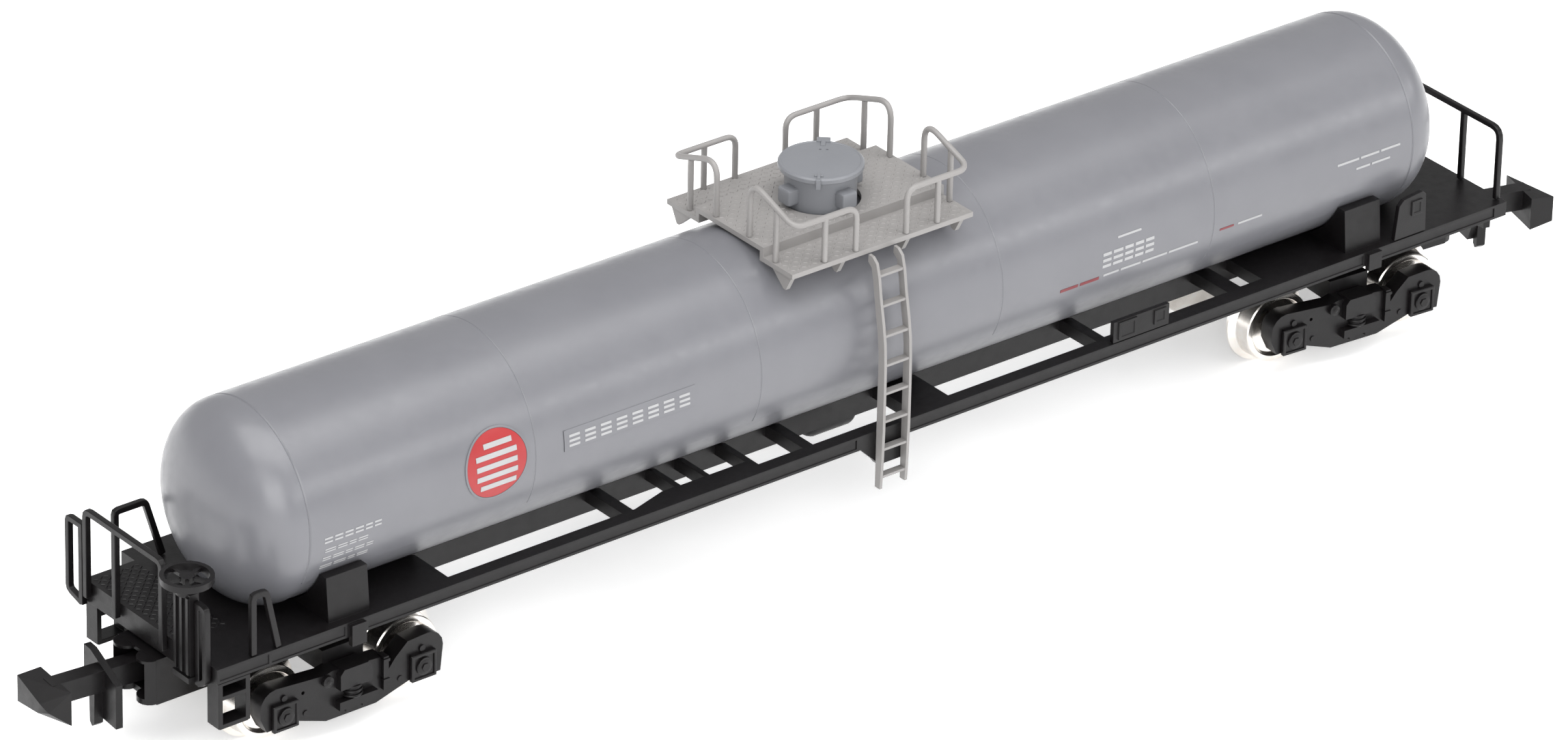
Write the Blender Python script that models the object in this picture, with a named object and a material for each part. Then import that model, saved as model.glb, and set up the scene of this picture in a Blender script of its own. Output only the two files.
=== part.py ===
"""Model tank wagon, 1:150 on 9 mm gauge track: a long pressure tank on a bogie underframe.

The part stands on its wheel flanges at z = 0, centred on x = 0 and y = 0. The front is the end
with the brake handwheel, at -X, and the left side is -Y. All sizes below are in millimetres, and all
heights below are DATUM more than they are in the finished part.
"""

import math

import bmesh
import bpy
from mathutils import Matrix, Vector

MM = 0.001
GAP = 0.05
DATUM = 0.4

# Tank.
TANK_R = 6.9
TANK_WALL = 0.8
TANK_Z = 14.95
SEAM_X = 46.2
DISH = 4.2
PARTING_DEG = 30.0

# Underframe.
FRAME_X = 54.1
SILL_Y = 8.0
SILL_INNER_Y = 7.0
SILL_LOW = 7.8
SILL_TOP = 8.85
FLOOR_LOW = 7.95
SPINE_Y = 3.0
SPINE_LOW = 7.05
END_PLATE_LOW = 7.28
WINDOWS = (
    (-35.4, -21.43, 6.98),
    (-16.07, -14.13, 6.2),
    (-13.71, -10.79, 6.2),
    (-10.28, -6.62, 6.98),
    (-5.77, 2.4, 6.98),
    (5.6, 18.35, 6.98),
    (19.16, 29.96, 6.8),
    (31.2, 33.1, 6.7),
)
CORNERED_WINDOW = (
    (-20.57, 3.0),
    (-16.52, 3.0),
    (-16.52, 6.16),
    (-17.6, 6.16),
    (-20.4, 6.98),
    (-20.57, 6.98),
)
SADDLES_X = ((-45.0, -41.8), (40.05, 43.2))
BRACKETS = ((-43.3, 7.2, 8.7), (41.95, 7.5, 8.75))

# Walkway.
DECK_X = 7.54
DECK_UPPER_Y = 3.55
DECK_LOWER_Y = 6.6
DECK_UPPER_Z = 22.4
DECK_LOWER_Z = 21.7
DECK_THICK = 0.35
DECK_HOLE_R = 2.7
RAIL = 0.44
GUSSETS_X = (-7.2, -3.0, 2.4, 6.9)

# Valve dome.
DOME_R = 2.4
LID_R = 2.85
LID_LOW = 24.65

# Ladders. The stiles' edges are (distance from the middle, height), on their outer and inner sides.
STILES_X = ((-1.3, -1.08), (0.8, 1.02))
STILE_OUTER = (
    (8.53, 4.7),
    (8.62, 6.5),
    (8.68, 9.0),
    (8.68, 12.0),
    (8.65, 14.0),
    (8.57, 15.4),
    (8.36, 16.8),
    (8.0, 18.6),
    (7.77, 20.1),
    (7.52, 20.95),
    (7.1, 21.3),
    (6.7, 21.33),
)
STILE_INNER = (
    (6.68, 20.8),
    (7.05, 20.5),
    (7.25, 19.6),
    (7.5, 18.0),
    (7.85, 16.0),
    (8.02, 14.5),
    (8.02, 4.7),
)
RUNG_FIRST = 5.55
RUNG_PITCH = 2.075
RUNGS = 8

# Bogies.
BOGIES_X = {"front": -43.1, "rear": 42.0}
WHEELBASE = 10.8
AXLE_Z = 3.5
SIDEFRAME_Z = 3.38
FLANGE_R = 3.1
TREAD_R = 2.6
WHEEL_BACK = 3.75
WHEEL_FACE = 5.6
FRAME_IN = 6.1
FRAME_OUT = 7.3
REAR_BOGIE_DEG = -4.5

# Couplers, in the bogie's own frame with +X towards the wagon's end.
PIVOTS_X = {"front": 8.2, "rear": 9.2}
POCKET = (6.25, 12.3, 2.1, 3.75, 7.0)
SHANK = (1.2, 4.7, 6.2)
COUPLER_REACH = 10.7
FRONT_COUPLER_DEG = -5.0
REAR_COUPLER_DEG = -11.2

# End fittings.
RAIL_TOP = 14.4
HANDWHEEL = (-54.45, -5.3, 14.3)
HANDWHEEL_R = 1.75


def clear_scene():
    for obj in list(bpy.data.objects):
        bpy.data.objects.remove(obj, do_unlink=True)


def plastic(name, color, roughness, metallic=0.0):
    material = bpy.data.materials.new(name)
    material.use_nodes = True
    shader = material.node_tree.nodes["Principled BSDF"]
    shader.inputs["Base Color"].default_value = (*color, 1.0)
    shader.inputs["Roughness"].default_value = roughness
    shader.inputs["Metallic"].default_value = metallic
    material.diffuse_color = (*color, 1.0)
    return material


# Shapes. Each returns an object whose mesh is one closed body in metres.


def as_object(bm):
    bmesh.ops.recalc_face_normals(bm, faces=bm.faces)
    bmesh.ops.translate(bm, vec=(0.0, 0.0, -DATUM), verts=bm.verts)
    bmesh.ops.scale(bm, vec=(MM, MM, MM), verts=bm.verts)
    mesh = bpy.data.meshes.new("shape")
    bm.to_mesh(mesh)
    bm.free()
    obj = bpy.data.objects.new("shape", mesh)
    bpy.context.collection.objects.link(obj)
    return obj


def prism(outline, axis, low, high):
    """An outline in the plane across axis (in X, Y, Z order), drawn out from low to high."""
    place = {
        "X": lambda a, b, c: (c, a, b),
        "Y": lambda a, b, c: (a, c, b),
        "Z": lambda a, b, c: (a, b, c),
    }[axis]
    bm = bmesh.new()
    near = [bm.verts.new(place(a, b, low)) for a, b in outline]
    far = [bm.verts.new(place(a, b, high)) for a, b in outline]
    bm.faces.new(near)
    bm.faces.new(far)
    for i in range(len(outline)):
        j = (i + 1) % len(outline)
        bm.faces.new((near[i], near[j], far[j], far[i]))
    return as_object(bm)


def block(x, y, z):
    return prism(((x[0], y[0]), (x[1], y[0]), (x[1], y[1]), (x[0], y[1])), "Z", z[0], z[1])


def arc(centre, radius, start_deg, end_deg, steps):
    points = []
    for i in range(steps + 1):
        angle = math.radians(start_deg + (end_deg - start_deg) * i / steps)
        points.append((centre[0] + radius * math.cos(angle), centre[1] + radius * math.sin(angle)))
    return points


def disc(centre, axis, radius, low, high, sides=24):
    return prism(arc(centre, radius, 0, 360, sides)[:-1], axis, low, high)


def turned(profile, axis, centre, sides=24, ring=False):
    """A profile of (radius, height) points turned about an axis through centre.

    Without ring the profile starts and ends on the axis; with ring it closes on itself.
    """
    place = {
        "X": lambda a, b, c: (centre[0] + c, centre[1] + a, centre[2] + b),
        "Y": lambda a, b, c: (centre[0] + a, centre[1] + c, centre[2] + b),
        "Z": lambda a, b, c: (centre[0] + a, centre[1] + b, centre[2] + c),
    }[axis]
    bm = bmesh.new()
    rings = []
    for radius, height in profile:
        if radius == 0.0:
            rings.append([bm.verts.new(place(0.0, 0.0, height))])
            continue
        circle = arc((0, 0), radius, 0, 360, sides)[:-1]
        rings.append([bm.verts.new(place(x, y, height)) for x, y in circle])
    pairs = list(zip(rings, rings[1:]))
    if ring:
        pairs.append((rings[-1], rings[0]))
    for lower, upper in pairs:
        for i in range(sides):
            j = (i + 1) % sides
            corners = [lower[i % len(lower)], lower[j % len(lower)]]
            corners += [upper[j % len(upper)], upper[i % len(upper)]]
            bm.faces.new(list(dict.fromkeys(corners)))
    return as_object(bm)


def hull(points):
    bm = bmesh.new()
    for point in points:
        bm.verts.new(point)
    bmesh.ops.convex_hull(bm, input=bm.verts)
    return as_object(bm)


def rounded(points, radius, steps=3):
    """The path with each inner corner replaced by a curve that starts and ends radius from it."""
    points = [Vector(point) for point in points]
    path = [points[0]]
    for before, corner, after in zip(points, points[1:], points[2:]):
        start = corner + (before - corner).normalized() * min(radius, (before - corner).length * 0.45)
        end = corner + (after - corner).normalized() * min(radius, (after - corner).length * 0.45)
        for i in range(steps + 1):
            t = i / steps
            path.append(start * (1 - t) ** 2 + corner * 2 * t * (1 - t) + end * t ** 2)
    path.append(points[-1])
    return path


def bar(path, across, wide, tall):
    """A rectangular bar along a path. Its section is wide along across and tall at right angles."""
    path = [Vector(point) for point in path]
    steps = [(b - a).normalized() for a, b in zip(path, path[1:])]
    across = Vector(across)
    bm = bmesh.new()
    rings = []
    for i, point in enumerate(path):
        along = steps[max(i - 1, 0)]
        mitre = (along + steps[min(i, len(steps) - 1)]).normalized()
        side = (across - along * across.dot(along)).normalized()
        rise = along.cross(side)
        ring = []
        for u, v in ((-0.5, -0.5), (0.5, -0.5), (0.5, 0.5), (-0.5, 0.5)):
            offset = side * (u * wide) + rise * (v * tall)
            offset -= along * (offset.dot(mitre) / along.dot(mitre))
            ring.append(bm.verts.new(point + offset))
        across = side
        rings.append(ring)
    bm.faces.new(rings[0])
    bm.faces.new(rings[-1])
    for lower, upper in zip(rings, rings[1:]):
        for i in range(4):
            j = (i + 1) % 4
            bm.faces.new((lower[i], lower[j], upper[j], upper[i]))
    return as_object(bm)


def coil(centre, radius, wire, length, turns, sides=5, per_turn=10):
    """A coil spring along X, as one tube with capped ends."""
    points = []
    for i in range(turns * per_turn + 1):
        angle = 2 * math.pi * i / per_turn
        along = centre[0] + length * (i / (turns * per_turn) - 0.5)
        y = centre[1] + radius * math.cos(angle)
        z = centre[2] + radius * math.sin(angle)
        points.append(Vector((along, y, z)))
    bm = bmesh.new()
    rings = []
    for i, point in enumerate(points):
        along = (points[min(i + 1, len(points) - 1)] - points[max(i - 1, 0)]).normalized()
        out = Vector((0.0, point.y - centre[1], point.z - centre[2])).normalized()
        out = (out - along * out.dot(along)).normalized()
        side = along.cross(out)
        ring = []
        for k in range(sides):
            turn = 2 * math.pi * k / sides
            ring.append(bm.verts.new(point + (out * math.cos(turn) + side * math.sin(turn)) * wire / 2))
        rings.append(ring)
    bm.faces.new(rings[0])
    bm.faces.new(rings[-1])
    for lower, upper in zip(rings, rings[1:]):
        for k in range(sides):
            j = (k + 1) % sides
            bm.faces.new((lower[k], lower[j], upper[j], upper[k]))
    return as_object(bm)


def solid(name, shapes, material, cuts=(), parent=None):
    """One named body: the union of shapes, less the cuts, with sharp edges kept sharp."""
    body = shapes[0]
    for operation, others in (("UNION", shapes[1:]), ("DIFFERENCE", cuts)):
        for other in others:
            modifier = body.modifiers.new(operation.lower(), "BOOLEAN")
            modifier.operation = operation
            modifier.solver = "EXACT"
            modifier.object = other
    bpy.context.view_layer.update()
    mesh = bpy.data.meshes.new_from_object(body.evaluated_get(bpy.context.evaluated_depsgraph_get()))
    for shape in (*shapes, *cuts):
        bpy.data.objects.remove(shape, do_unlink=True)
    mesh.name = name
    mesh.materials.clear()
    mesh.materials.append(material)
    mesh.shade_smooth()
    mesh.set_sharp_from_angle(angle=math.radians(35))
    return placed(name, mesh, parent)


def placed(name, mesh, parent=None):
    obj = bpy.data.objects.new(name, mesh)
    bpy.context.collection.objects.link(obj)
    obj.parent = parent
    return obj


def pivot(name, location, degrees, parent=None):
    """An empty on a joint's axis, turned about Z."""
    empty = bpy.data.objects.new(name, None)
    bpy.context.collection.objects.link(empty)
    empty.location = Vector(location) * MM
    empty.rotation_euler = (0.0, 0.0, math.radians(degrees))
    empty.parent = parent
    return empty


# Tank and what it carries.


def tank_profile(radius, dish):
    """Half the tank's outline, from tip to tip: dished ends on a straight barrel."""
    end = [(0.0, SEAM_X + dish)]
    for degrees in range(15, 91, 15):
        angle = math.radians(degrees)
        end.append((radius * math.sin(angle), SEAM_X + dish * math.cos(angle)))
    return end + [(r, -x) for r, x in reversed(end)]


def make_tank(grey, steel):
    centre = (0.0, 0.0, TANK_Z)
    parting_z = TANK_Z - TANK_R * math.sin(math.radians(PARTING_DEG))
    outer = turned(tank_profile(TANK_R, DISH), "X", centre, 48)
    inner = turned(tank_profile(TANK_R - TANK_WALL, DISH - TANK_WALL), "X", centre, 48)
    mouth = block((-SEAM_X, SEAM_X), (-8, 8), (7, parting_z))
    solid("tank_shell", [outer], grey, [inner, mouth])

    # The trough's walls are drawn past the parting plane and trimmed level with it.
    trough = arc((0, TANK_Z), TANK_R, 195, 345, 20) + arc((0, TANK_Z), TANK_R - TANK_WALL, 345, 195, 20)
    lid = block((-SEAM_X, SEAM_X), (-8, 8), (parting_z - GAP, TANK_Z))
    solid("tank_belly", [prism(trough, "X", GAP - SEAM_X, SEAM_X - GAP)], grey, [lid])
    solid("ballast_weight", [block((-34, 34), (-3, 3), (9.75, 11.25))], steel)


def make_dome(grey):
    axis = (0.0, 0.0, 0.0)
    body = turned([(0, 20.6), (DOME_R, 20.6), (DOME_R, LID_LOW - GAP), (0, LID_LOW - GAP)], "Z", axis, 32)
    stub_low, stub_high = DECK_UPPER_Z + 0.3, DECK_UPPER_Z + 1.5
    reach, half = 3.15, 0.62
    stubs = [
        block((-reach, reach), (-half, half), (stub_low, stub_high)),
        block((-half, half), (-reach, reach), (stub_low, stub_high)),
    ]
    barrel = disc((0, TANK_Z), "X", TANK_R + GAP, -5, 5, 48)
    solid("valve_dome", [body, *stubs], grey, [barrel])

    top = LID_LOW + 0.4
    profile = [(0, LID_LOW), (LID_R, LID_LOW), (LID_R, top), (LID_R - 0.3, top + 0.1), (0, top + 0.2)]
    lid = turned(profile, "Z", axis, 32)
    hinge = block((2.55, 3.1), (-0.45, 0.45), (LID_LOW + 0.08, top + 0.12))
    latch = block((-3.1, -2.6), (-0.16, 0.16), (LID_LOW - 0.25, top + 0.06))
    for fitting in (hinge, latch):
        fitting.rotation_euler = (0.0, 0.0, math.radians(48))
    solid("valve_dome_lid", [lid, hinge, latch], grey)


def make_walkway(light_grey):
    inner_y = DECK_UPPER_Y - DECK_THICK
    half = [
        (DECK_UPPER_Y, DECK_UPPER_Z),
        (DECK_UPPER_Y, DECK_LOWER_Z),
        (DECK_LOWER_Y, DECK_LOWER_Z),
        (DECK_LOWER_Y, DECK_LOWER_Z - DECK_THICK),
        (inner_y, DECK_LOWER_Z - DECK_THICK),
        (inner_y, DECK_UPPER_Z - DECK_THICK),
    ]
    outline = half + [(-y, z) for y, z in reversed(half)]
    shapes = [prism(outline, "X", -DECK_X, DECK_X)]
    root_z = DECK_LOWER_Z - 0.5 * DECK_THICK
    for x in GUSSETS_X:
        for side in (-1, 1):
            web = ((side * 6.45, root_z), (side * 4.0, root_z), (side * 5.5, 20.2), (side * 5.75, 20.2))
            shapes.append(prism(web, "X", x - 0.17, x + 0.17))
    solid("walkway_deck", shapes, light_grey, [disc((0, 0), "Z", DECK_HOLE_R, 20, 24, 32)])


def handrail_path(end, side):
    """Centre line of a corner rail: up from the raised deck, down to the corner, along, and down."""
    x, y, low = end * 7.25, side * 6.35, 24.9
    peak = rounded(((x, side * 1.75, DECK_UPPER_Z + GAP), (x, side * 1.75, 26.5), (x, y, low)), 1.5, 5)
    rest = rounded((peak[-2], (x, y, low), (end * 2.1, y, low), (end * 2.1, y, DECK_LOWER_Z + GAP)), 0.9, 4)
    return peak[:-1] + rest[1:]


def make_handrails(light_grey):
    for end, end_name in ((-1, "front"), (1, "rear")):
        for side, side_name in ((-1, "left"), (1, "right")):
            rail = bar(handrail_path(end, side), (end, 0, 0), RAIL, RAIL)
            foot = DECK_LOWER_Z + GAP
            half = 0.5 * RAIL
            x, y = end * 7.25, side * 4.5
            corner_post = block((x - half, x + half), (y - half, y + half), (foot, 25.42))
            x, y = end * 4.7, side * 6.35
            side_post = block((x - half, x + half), (y - half, y + half), (foot, 24.9))
            solid(f"handrail_{end_name}_{side_name}", [rail, corner_post, side_post], light_grey)


def ladder_face(z):
    """How far out the stiles' outer edge is at a height."""
    for (y_low, z_low), (y_high, z_high) in zip(STILE_OUTER, STILE_OUTER[1:]):
        if z <= z_high:
            return y_low + (y_high - y_low) * (z - z_low) / (z_high - z_low)
    return STILE_OUTER[-1][0]


def make_ladders(light_grey):
    for side, side_name in ((-1, "left"), (1, "right")):
        outline = [(side * y, z) for y, z in STILE_OUTER + STILE_INNER]
        shapes = [prism(outline, "X", *x) for x in STILES_X]
        for i in range(RUNGS):
            z = RUNG_FIRST + RUNG_PITCH * i
            front = ladder_face(z) - 0.05
            near, far = sorted((side * (front - 0.54), side * front))
            x = (STILES_X[0][1] - 0.1, STILES_X[1][0] + 0.1)
            shapes.append(block(x, (near, far), (z - 0.09, z + 0.09)))
        solid(f"ladder_{side_name}", shapes, light_grey)


# Underframe and its fittings.


def make_underframe(black):
    shapes = [block((-FRAME_X, FRAME_X), (-7.9, 7.9), (FLOOR_LOW, SILL_TOP))]
    cuts = [block((-60, -50.2), (6.5, 9), (7, 10))]
    for side in (-1, 1):
        inner, outer = sorted((side * (SILL_INNER_Y - 0.02), side * SILL_Y))
        shapes.append(block((-FRAME_X, FRAME_X), (inner, outer), (SILL_LOW, SILL_TOP)))
        for start, end, reach in WINDOWS:
            near, far = sorted((side * SPINE_Y, side * reach))
            cuts.append(block((start, end), (near, far), (7, 10)))
        cuts.append(prism([(x, side * y) for x, y in CORNERED_WINDOW], "Z", 7, 10))
        saddle = [(3.2, 8.5), (7.3, 8.5), (7.3, 8.85), (7.02, 11.95), (3.2, 11.95)]
        for start, end in SADDLES_X:
            shapes.append(prism([(side * y, z) for y, z in saddle], "X", start, end))
        near, far = sorted((side * 7.9, side * 8.3))
        for x, low, high in BRACKETS:
            shapes.append(block((x - 0.57, x + 0.57), (near, far), (low, high)))
        near, far = sorted((side * 7.4, side * 7.98))
        ladder_foot = ((-2.6, 7.85), (-1.3, 6.6), (-1.0, 6.2), (0.95, 6.2), (0.95, 7.85))
        shapes.append(prism(ladder_foot, "Y", near, far))
    spine_x = (-FRAME_X + 0.5, FRAME_X - 0.5)
    shapes.append(block(spine_x, (-SPINE_Y, SPINE_Y), (SPINE_LOW, SILL_TOP - 0.05)))
    for end in (-1, 1):
        start, stop = sorted((end * (FRAME_X - 0.7), end * (FRAME_X - 0.02)))
        shapes.append(block((start, stop), (-6.4, 6.4), (END_PLATE_LOW, SILL_TOP - 0.1)))
    for x in BOGIES_X.values():
        cuts.append(disc((x, 0), "Z", 1.0, 6, 9, 20))
    cuts.append(turned(tank_profile(TANK_R + 0.1, DISH + 0.1), "X", (0.0, 0.0, TANK_Z), 48))
    solid("underframe", shapes, black, cuts)


def make_sill_plates(black):
    """Two small label holders that stand on the left sill."""
    low = SILL_TOP + GAP
    plate = block((18.95, 23.8), (-7.97, -7.62), (low, 10.45))
    face = (-8.07, -7.9)
    frames = [block((19.35, 20.95), face, (9.05, 10.35)), block((22.45, 23.5), face, (9.25, 10.3))]
    outside = (-8.2, -8.02)
    recesses = [block((19.6, 20.7), outside, (9.25, 10.15)), block((22.65, 23.3), outside, (9.45, 10.1))]
    solid("sill_label_plate", [plate, *frames], black, recesses)
    outline = ((43.9, low), (46.7, low), (46.6, 11.7), (46.3, 12.0), (44.6, 11.8), (44.2, 11.4))
    shield = prism(outline, "Y", -7.95, -7.6)
    frame = block((45.3, 46.25), (-8.05, -7.9), (10.4, 11.5))
    recess = block((45.5, 46.05), (-8.2, -8.0), (10.6, 11.3))
    solid("end_label_plate", [shield, frame], black, [recess])


def make_reservoir(black):
    """A plain cylinder with domed ends under the spine."""
    ends = [(0.0, 2.2)]
    for degrees in (30, 60, 90):
        angle = math.radians(degrees)
        ends.append((1.1 * math.sin(angle), 1.5 + 0.7 * math.cos(angle)))
    profile = ends + [(r, -x) for r, x in reversed(ends)]
    solid("air_reservoir", [turned(profile, "X", (0.9, 0.0, 5.85), 20)], black)


def make_brake_stand(black):
    x, y, top = HANDWHEEL
    column = block((-54.85, -FRAME_X - GAP), (-6.15, -4.55), (7.6, top - 0.7))
    ribs = [block((-55.0, -54.5), (rib - 0.12, rib + 0.12), (7.9, top - 0.9)) for rib in (-6.0, -5.35, -4.7)]
    foot = block((-55.05, -FRAME_X - GAP), (-6.25, -4.45), (7.35, 7.75))
    head = disc((x, y), "Z", 0.75, top - 0.95, top - 0.6, 16)
    spindle = disc((x, y), "Z", 0.3, top - 0.8, top - 0.2, 12)
    solid("brake_stand", [column, *ribs, foot, head, spindle], black)

    low, high = top - 0.1, top + 0.35
    profile = [(1.35, low), (HANDWHEEL_R, low), (HANDWHEEL_R, high), (1.45, high)]
    rim = turned(profile, "Z", (x, y, 0), 24, ring=True)
    hub = disc((x, y), "Z", 0.5, low, high - 0.05, 16)
    spokes = []
    centre = Matrix.Translation(Vector((x, y, 0)) * MM)
    for i in range(5):
        spoke = block((0.3, 1.5), (-0.13, 0.13), (low + 0.05, high - 0.15))
        spoke.matrix_world = centre @ Matrix.Rotation(math.radians(72 * i + 20), 4, "Z")
        spokes.append(spoke)
    bore = disc((x, y), "Z", 0.33, low - 0.2, top + 0.02, 12)
    solid("brake_handwheel", [rim, hub, *spokes], black, [bore])


def upright(x, y, low, high, size=0.42):
    half = 0.5 * size
    return block((x - half, x + half), (y - half, y + half), (low, high))


def make_front_end(black):
    x = -FRAME_X - GAP - 0.21
    top = RAIL_TOP - 0.21
    low = 7.9
    path = rounded(((x, 5.8, low), (x, 5.8, top), (x, -2.5, top), (x, -2.5, low)), 0.5, 3)
    rail = bar(path, (1, 0, 0), 0.42, 0.42)
    solid("front_end_rail", [rail, upright(x, 2.6, low, top)], black)
    for side, name, near, far in ((-1, "left", 6.42, 7.2), (1, "right", 6.28, 7.75)):
        near, far = side * near, side * far
        path = ((x, near, 12.9), (x, far, 12.9), (x, far, 7.7), (x, near, 7.3))
        loop = bar(rounded(path, 0.3, 2), (1, 0, 0), 0.42, 0.4)
        solid(f"grab_loop_{name}", [loop, upright(x, near, 7.2, 13.1)], black)
    low = SILL_TOP + GAP
    stays = (("left", -7.75, -51.2, -50.2, -49.3), ("right", 6.2, -51.9, -49.6, -48.3))
    for name, y, foot_x, top_x, leg_x in stays:
        corners = ((foot_x, y, low), (foot_x, y, 13.1), (top_x, y, 13.1), (leg_x, y, low))
        path = rounded(corners, 0.25, 2)
        solid(f"side_stay_{name}", [bar(path, (0, 1, 0), 0.4, 0.42)], black)


def make_steps(black):
    for name, y, top in (("left", (-7.98, -6.75), SILL_LOW - GAP), ("right", (5.25, 6.48), 7.23)):
        shapes = [block((x, x + 0.34), y, (4.5, top)) for x in (-54.0, -51.9)]
        for low, high in ((4.45, 4.75), (6.5, 6.78), (top - 0.2, top)):
            shapes.append(block((-53.9, -51.7), y, (low, high)))
        solid(f"front_step_{name}", shapes, black)


def make_rear_end(black):
    x, y, top = 53.75, 7.3, RAIL_TOP - 0.2
    low = SILL_TOP + GAP
    path = rounded(((x, -y, low), (x, -y, top), (x, y, top), (x, y, low)), 0.8, 4)
    posts = [upright(x, post_y, low, top, 0.4) for post_y in (-3.65, 3.65)]
    solid("rear_end_rail", [bar(path, (1, 0, 0), 0.4, 0.4), *posts], black)


# Bogies, couplers and wheelsets, in the bogie's own frame: +X points to the wagon's end.


def sideframe_outline():
    """Left side, as seen from outside: a straight-topped arm, a spring seat, and a round shoulder."""
    z = SIDEFRAME_Z
    points = [(-6.7, z - 0.85), (-7.2, z + 0.2)]
    points += arc((-6.0, z + 0.85), 1.2, 180, 90, 4)
    points += [(-2.2, z + 1.75), (-1.6, z + 1.9), (2.4, z + 1.6), (2.7, z + 0.4)]
    points += [(3.35, z + 1.2), (4.3, z + 2.05)]
    points += arc((5.9, z + 0.95), 1.2, 90, 0, 4)
    points += [(6.9, z - 0.95), (4.4, z - 0.85), (1.8, z - 1.6), (-2.1, z - 1.6), (-4.5, z - 0.75)]
    return points


def sideframe(side):
    """One sideframe with its axleboxes, spring group and plank, turned half round for the right."""
    z = AXLE_Z
    shapes = [prism(sideframe_outline(), "Y", -FRAME_OUT, -FRAME_IN)]
    for x in (-WHEELBASE / 2, WHEELBASE / 2):
        shapes.append(block((x - 0.88, x + 0.88), (-7.55, -7.1), (z - 0.9, z + 0.85)))
        shapes.append(disc((x, z), "Y", 0.55, -7.72, -7.2, 14))
    bolster_end = ((-1.3, 3.9), (1.2, 3.9), (1.2, 5.0), (0.9, 5.35), (-1.0, 5.35), (-1.3, 5.0))
    shapes.append(prism(bolster_end, "Y", -7.8, -6.4))
    shapes.append(disc((-0.05, -7.2), "Z", 0.62, 2.9, 4.1, 14))
    shapes.append(block((-1.4, 1.6), (-7.85, -6.4), (2.5, 3.1)))
    shapes.append(block((2.2, 2.6), (-7.6, -6.9), (2.7, 5.1)))
    shapes.append(disc((-2.1, 4.75), "Y", 0.4, -7.6, -7.0, 12))
    if side > 0:
        for shape in shapes:
            shape.rotation_euler = (0.0, 0.0, math.pi)
    return shapes


def bogie_mesh(black):
    inner, mouth, half, low, high = POCKET
    shapes = [block((-1.6, 1.6), (-6.2, 6.2), (4.6, 6.2)), disc((0, 0), "Z", 2.4, 4.7, 6.9, 24)]
    for side in (-1, 1):
        shapes += sideframe(side)
    shapes.append(block((1.0, inner + 0.5), (-1.4, 1.4), (4.75, 6.5)))
    shapes.append(block((inner, mouth - 0.8), (-half, half), (low, high)))
    for side in (-1, 1):
        shapes.append(disc((mouth - 0.85, side * (half - 0.85)), "Z", 0.85, low + 0.05, high - 0.05, 16))
    cuts = [
        block((inner + 0.3, mouth + 1), (-1.7, 1.7), (low + 0.45, high - 0.25)),
        block((inner + 0.3, mouth - 1.2), (-1.7, 1.7), (low - 1, low + 1)),
        disc((0, 0), "Z", 1.0, 4, 8, 20),
    ]
    for x in (-WHEELBASE / 2, WHEELBASE / 2):
        cuts.append(disc((x, AXLE_Z), "Y", 0.52, -6.85, 6.85, 14))
    body = solid("bogie_frame_front", shapes, black, cuts)
    mesh = body.data
    bpy.data.objects.remove(body, do_unlink=True)
    return mesh


def coupler_mesh(black):
    """Hook coupler along +X from its pivot, with a wedge nose, a cross plate and a trip pin."""
    width, low, high = SHANK
    tip = COUPLER_REACH
    back = tip - 1.7
    half = 0.5 * width
    shank = block((-0.3, back + 0.6), (-half, half), (low, high))
    tail = disc((0, 0), "Z", 1.25, low, high, 16)
    tail_trim = [
        block((0.5, 2), (-2, -half), (0, 9)),
        block((0.5, 2), (half, 2), (0, 9)),
        block((-3, -0.7), (-2, 2), (0, 9)),
    ]
    nose = hull(
        [
            (back, -1.95, high),
            (back, 1.95, high),
            (back, -1.95, 3.8),
            (back, 1.95, 3.8),
            (tip, -1.95, high - 0.1),
            (tip, -1.95, 4.2),
            (tip, 0.9, high - 0.8),
            (tip, 0.6, 4.6),
            (tip - 0.3, 1.5, 4.9),
        ]
    )
    plate_x = tip - 5.1
    plate = ((-2.0, 6.9), (-1.2, 6.9), (2.0, 5.7), (2.0, 2.6), (0.3, 2.6), (-0.4, 4.2), (-2.0, 4.6))
    plate = prism(plate, "X", plate_x - 0.25, plate_x + 0.25)
    pin = ((-0.35, 4.9), (0.35, 4.9), (-0.28, 2.3), (0.28, 2.3), (0, 2.05))
    pin = hull([(plate_x + d, y, z) for d in (0.2, 0.85) for y, z in pin])
    body = solid("coupler_front", [shank, tail, nose, plate, pin], black, tail_trim)
    mesh = body.data
    bpy.data.objects.remove(body, do_unlink=True)
    return mesh


def wheel_mesh(nickel):
    """The wheel on the +Y end of its axle: flange, coned tread, rim, dished web and boss."""
    z = AXLE_Z
    profile = [
        (0.62, WHEEL_BACK),
        (FLANGE_R, WHEEL_BACK),
        (FLANGE_R, WHEEL_BACK + 0.35),
        (TREAD_R, WHEEL_BACK + 0.75),
        (TREAD_R - 0.06, WHEEL_FACE),
        (2.1, WHEEL_FACE),
        (1.95, WHEEL_FACE - 0.35),
        (0.62, WHEEL_FACE - 0.25),
    ]
    body = solid("wheel", [turned(profile, "Y", (0, 0, z), 24, ring=True)], nickel)
    mesh = body.data
    bpy.data.objects.remove(body, do_unlink=True)
    return mesh


def axle_mesh(steel):
    """A plain axle that is thicker between the wheels and runs to a point at both ends."""
    half = [(0.0, 6.75), (0.4, 6.35), (0.4, 5.75), (0.58, 5.7), (0.58, 3.7), (0.75, 3.7)]
    profile = half + [(r, -y) for r, y in reversed(half)]
    body = solid("axle", [turned(profile, "Y", (0, 0, AXLE_Z), 12)], steel)
    mesh = body.data
    bpy.data.objects.remove(body, do_unlink=True)
    return mesh


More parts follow.
